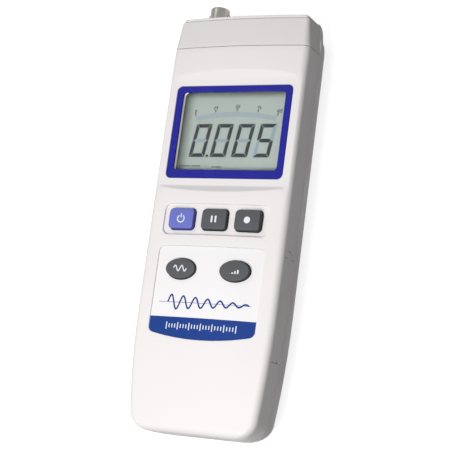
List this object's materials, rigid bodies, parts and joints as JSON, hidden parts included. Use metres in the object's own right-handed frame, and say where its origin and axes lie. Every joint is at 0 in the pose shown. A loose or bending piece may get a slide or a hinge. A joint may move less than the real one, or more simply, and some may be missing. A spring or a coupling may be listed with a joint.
{
  "type": "handheld vibration meter",
  "caption": "Handheld vibration meter with a crowned two-part shell, scooped LCD window, five sprung keys, an end cap with a bayonet sensor socket, a sliding battery door and a tilt stand.",
  "frame": {"origin": "bottom centre of the bounding box: the meter lies on its flat back, so the origin is on the back's plane, under the box's centre", "axes": "+X to the right as seen from the front, +Y along the housing towards the sensor socket, +Z out of the face"},
  "size_m": [0.0726, 0.2136, 0.0388],
  "materials": {
    "shell": "moulded off-white ABS with a fine spark texture",
    "cap": "moulded pale grey-white ABS with a fine spark texture",
    "frame_blue": "glossy violet-blue printed frame",
    "pane": "clear acrylic",
    "lcd": "grey-green reflective liquid crystal glass",
    "white_plastic": "plain white plastic",
    "black_rubber": "silicone rubber",
    "board": "glass-epoxy board with green solder resist",
    "chip": "black moulded epoxy",
    "can": "drawn metal can",
    "screw": "zinc-plated steel",
    "key_blue": "satin blue plastic",
    "key_grey": "satin dark grey plastic",
    "label": "printed polycarbonate film with a blue band",
    "nickel": "nickel-plated brass",
    "contact_brass": "gold-plated brass contact",
    "black_plastic": "black nylon",
    "battery_metal": "printed steel jacket, plain",
    "lead_red": "insulated wire"
  },
  "bodies": {
    "housing": {"front_case": "shell", "rear_case": "shell", "end_cap": "cap", "window_frame": "frame_blue", "window_pane": "pane", "display_glass": "lcd", "display_holder": "white_plastic", "zebra_strips": "black_rubber", "circuit_board": "board", "processor": "chip", "amplifier_chips": "chip", "capacitors": "can", "crystal": "can", "board_screws": "screw", "keypad_mat": "black_rubber", "label": "label", "side_panel": "shell", "socket_body": "nickel", "socket_insulator": "white_plastic", "socket_contact": "contact_brass", "socket_washer": "screw", "socket_nut": "nickel", "data_jack": "black_plastic", "power_jack": "black_plastic", "power_jack_pin": "nickel", "reset_switch": "black_plastic", "trimmer_body": "black_plastic", "battery": "battery_metal", "battery_snap": "black_plastic", "battery_leads": "lead_red", "case_screws": "screw"},
    "power_key": {"power_key": "key_blue"},
    "hold_key": {"hold_key": "key_grey"},
    "record_key": {"record_key": "key_grey"},
    "function_key": {"function_key": "key_grey"},
    "unit_key": {"unit_key": "key_grey"},
    "reset_button": {"reset_button": "white_plastic"},
    "trimmer_rotor": {"trimmer_rotor": "white_plastic"},
    "battery_door": {"battery_door": "shell"},
    "tilt_stand": {"tilt_stand": "shell"}
  },
  "joints": [
    {"name": "power_key_press", "type": "slide", "parent": "housing", "child": "power_key", "axis": [0, 0, -1], "range_m": [0, 0.0009], "stiffness_N_per_m": 900},
    {"name": "hold_key_press", "type": "slide", "parent": "housing", "child": "hold_key", "axis": [0, 0, -1], "range_m": [0, 0.0009], "stiffness_N_per_m": 900},
    {"name": "record_key_press", "type": "slide", "parent": "housing", "child": "record_key", "axis": [0, 0, -1], "range_m": [0, 0.0009], "stiffness_N_per_m": 900},
    {"name": "function_key_press", "type": "slide", "parent": "housing", "child": "function_key", "axis": [0, 0, -1], "range_m": [0, 0.0009], "stiffness_N_per_m": 900},
    {"name": "unit_key_press", "type": "slide", "parent": "housing", "child": "unit_key", "axis": [0, 0, -1], "range_m": [0, 0.0009], "stiffness_N_per_m": 900},
    {"name": "reset_button_press", "type": "slide", "parent": "housing", "child": "reset_button", "axis": [1, 0, 0], "range_m": [0, 0.0005], "stiffness_N_per_m": 600},
    {"name": "trimmer_turn", "type": "hinge", "parent": "housing", "child": "trimmer_rotor", "pos_m": [-0.0355, -0.0078, 0.03], "axis": [1, 0, 0], "range_deg": [-135, 135]},
    {"name": "battery_door_slide", "type": "slide", "parent": "housing", "child": "battery_door", "axis": [0, -1, 0], "range_m": [0, 0.055]},
    {"name": "tilt_stand_fold", "type": "hinge", "parent": "housing", "child": "tilt_stand", "pos_m": [0, 0.0532, 0.0022], "axis": [1, 0, 0], "range_deg": [0, 65]}
  ]
}
